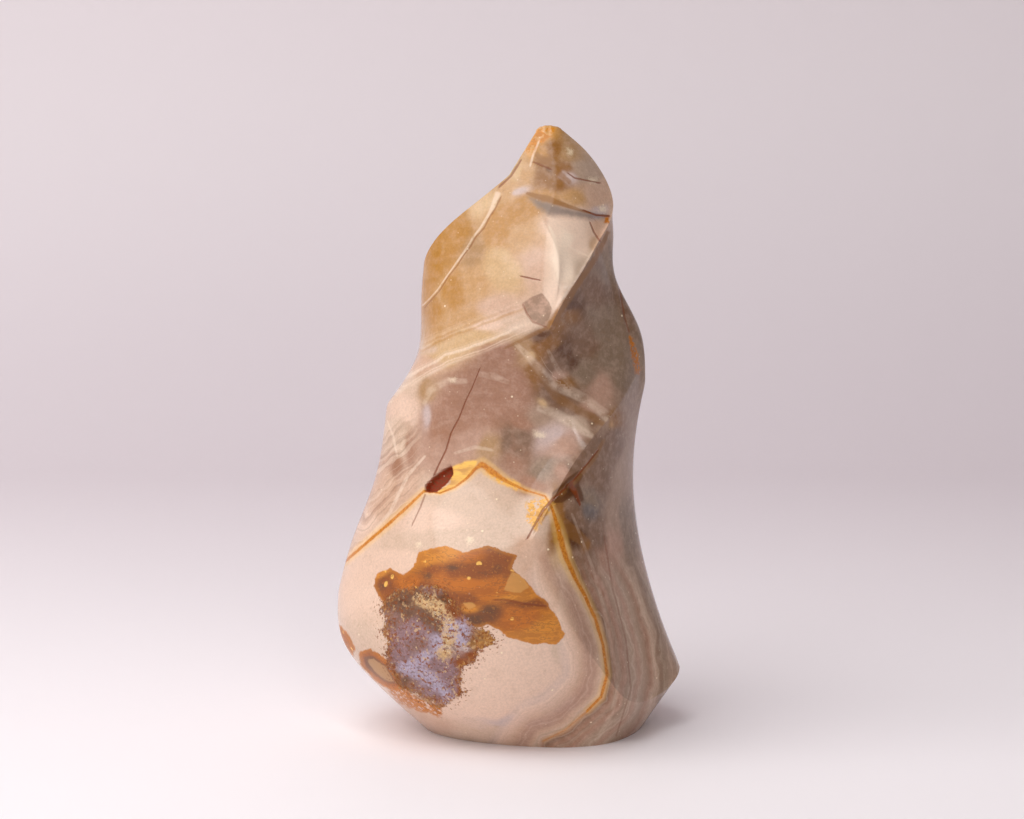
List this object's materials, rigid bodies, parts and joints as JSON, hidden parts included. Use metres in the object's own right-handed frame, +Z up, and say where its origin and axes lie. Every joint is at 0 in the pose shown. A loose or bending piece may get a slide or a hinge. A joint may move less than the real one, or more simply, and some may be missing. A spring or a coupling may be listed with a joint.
{
  "type": "polished stone carving",
  "caption": "Freestanding flame-shaped stone carving: one polished block with a ridge that winds up from a flat foot to a narrow tip, with hollow flutes between.",
  "frame": {"origin": "middle of the bounding box, on the plane of the flat foot", "axes": "+Z up from the foot to the tip, -Y towards the face with the crystal hollow, +X to the right of that face"},
  "size_m": [0.0682, 0.055, 0.12],
  "materials": {
    "polychrome_jasper": "polished, semi-gloss, banded pink, tan and mauve with ochre stains"
  },
  "bodies": {
    "root": {"flame_stone": "polychrome_jasper"}
  },
  "joints": []
}
